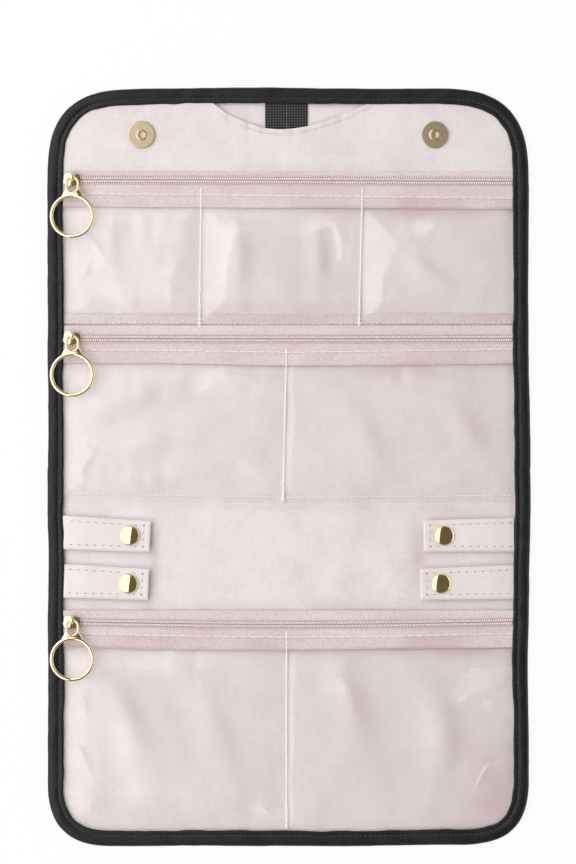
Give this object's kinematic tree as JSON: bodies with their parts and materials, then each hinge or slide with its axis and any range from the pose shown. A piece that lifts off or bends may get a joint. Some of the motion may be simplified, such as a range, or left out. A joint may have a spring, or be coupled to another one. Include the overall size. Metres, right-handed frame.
{
  "type": "jewelry organizer",
  "caption": "Tri-fold fabric jewelry organizer with zipped clear pockets, snap tabs, magnetic discs and a tuck-away hanging loop.",
  "frame": {"origin": "centre of the open case's outline, on the surface it lies on", "axes": "+Y up the case towards the hanging loop, +X to the right of the open case, +Z out of the lining"},
  "size_m": [0.255, 0.401, 0.0099],
  "materials": {
    "shell_cloth": "plain woven, black",
    "binding_cloth": "bias tape, soft sheen",
    "foam_padding": "matte foam",
    "satin_lining": "satin",
    "zip_tape": "woven twill",
    "clear_film": "soft clear film",
    "tab_leather": "smooth, fine grain",
    "gold_metal": "polished",
    "pale_gold_metal": "brushed",
    "plated_steel": "plated",
    "black_webbing": "ribbed webbing"
  },
  "bodies": {
    "middle_panel": {"middle_shell": "shell_cloth", "middle_padding": "foam_padding", "middle_lining": "satin_lining", "left_binding": "binding_cloth", "right_binding": "binding_cloth", "upper_fold_strip": "satin_lining", "lower_fold_strip": "satin_lining", "middle_zip_upper_tape": "zip_tape", "middle_zip_lower_tape": "zip_tape", "middle_clear_window": "clear_film", "snap_stud_left_upper": "plated_steel", "snap_stud_left_lower": "plated_steel", "snap_stud_right_upper": "plated_steel", "snap_stud_right_lower": "plated_steel"},
    "top_panel": {"top_shell": "shell_cloth", "top_padding": "foam_padding", "top_lining": "satin_lining", "top_binding": "binding_cloth", "top_zip_upper_tape": "zip_tape", "top_zip_lower_tape": "zip_tape", "top_clear_window": "clear_film", "hanger_pocket_panel": "satin_lining", "magnet_disc_left": "pale_gold_metal", "magnet_disc_right": "pale_gold_metal", "magnet_washer_left": "plated_steel", "magnet_washer_right": "plated_steel"},
    "bottom_panel": {"bottom_shell": "shell_cloth", "bottom_padding": "foam_padding", "bottom_lining": "satin_lining", "bottom_binding": "binding_cloth", "bottom_zip_upper_tape": "zip_tape", "bottom_zip_lower_tape": "zip_tape", "bottom_clear_window": "clear_film", "keeper_disc_left": "pale_gold_metal", "keeper_disc_right": "pale_gold_metal"},
    "hanging_loop": {"hanging_loop": "black_webbing"},
    "top_slider": {"top_slider": "gold_metal"},
    "top_ring_pull": {"top_ring_pull": "gold_metal"},
    "middle_slider": {"middle_slider": "gold_metal"},
    "middle_ring_pull": {"middle_ring_pull": "gold_metal"},
    "bottom_slider": {"bottom_slider": "gold_metal"},
    "bottom_ring_pull": {"bottom_ring_pull": "gold_metal"},
    "tab_left_upper": {"tab_left_upper": "tab_leather", "snap_cap_left_upper": "gold_metal", "snap_socket_left_upper": "plated_steel"},
    "tab_left_lower": {"tab_left_lower": "tab_leather", "snap_cap_left_lower": "gold_metal", "snap_socket_left_lower": "plated_steel"},
    "tab_right_upper": {"tab_right_upper": "tab_leather", "snap_cap_right_upper": "gold_metal", "snap_socket_right_upper": "plated_steel"},
    "tab_right_lower": {"tab_right_lower": "tab_leather", "snap_cap_right_lower": "gold_metal", "snap_socket_right_lower": "plated_steel"}
  },
  "joints": [
    {"name": "bottom_fold", "type": "hinge", "parent": "middle_panel", "child": "bottom_panel", "pos_m": [0, -0.074, 0.0084], "axis": [-1, 0, 0], "range_deg": [0, 180]},
    {"name": "top_fold", "type": "hinge", "parent": "middle_panel", "child": "top_panel", "pos_m": [0, 0.074, 0.0137], "axis": [1, 0, 0], "range_deg": [0, 180]},
    {"name": "loop_flip", "type": "hinge", "parent": "top_panel", "child": "hanging_loop", "pos_m": [-0.0009, 0.1923, 0.0052], "axis": [1, 0, 0], "range_deg": [-180, 0], "deforming": ["hanging_loop"]},
    {"name": "top_zip_slide", "type": "slide", "parent": "top_panel", "child": "top_slider", "axis": [1, 0, 0], "range_m": [0, 0.228]},
    {"name": "top_pull_hinge", "type": "hinge", "parent": "top_slider", "child": "top_ring_pull", "pos_m": [-0.114, 0.1528, 0.00768], "axis": [1, 0, 0], "range_deg": [-150, 0]},
    {"name": "middle_zip_slide", "type": "slide", "parent": "middle_panel", "child": "middle_slider", "axis": [1, 0, 0], "range_m": [0, 0.228]},
    {"name": "middle_pull_hinge", "type": "hinge", "parent": "middle_slider", "child": "middle_ring_pull", "pos_m": [-0.114, 0.069, 0.00768], "axis": [1, 0, 0], "range_deg": [-150, 0]},
    {"name": "bottom_zip_slide", "type": "slide", "parent": "bottom_panel", "child": "bottom_slider", "axis": [1, 0, 0], "range_m": [0, 0.228]},
    {"name": "bottom_pull_hinge", "type": "hinge", "parent": "bottom_slider", "child": "bottom_ring_pull", "pos_m": [-0.114, -0.0812, 0.00768], "axis": [1, 0, 0], "range_deg": [-150, 0]},
    {"name": "tab_left_upper_lift", "type": "hinge", "parent": "middle_panel", "child": "tab_left_upper", "pos_m": [-0.119, -0.0349, 0.005], "axis": [0, 1, 0], "range_deg": [-150, 0]},
    {"name": "tab_left_lower_lift", "type": "hinge", "parent": "middle_panel", "child": "tab_left_lower", "pos_m": [-0.119, -0.0605, 0.005], "axis": [0, 1, 0], "range_deg": [-150, 0]},
    {"name": "tab_right_upper_lift", "type": "hinge", "parent": "middle_panel", "child": "tab_right_upper", "pos_m": [0.119, -0.0361, 0.005], "axis": [0, -1, 0], "range_deg": [-150, 0]},
    {"name": "tab_right_lower_lift", "type": "hinge", "parent": "middle_panel", "child": "tab_right_lower", "pos_m": [0.119, -0.0611, 0.005], "axis": [0, -1, 0], "range_deg": [-150, 0]}
  ]
}
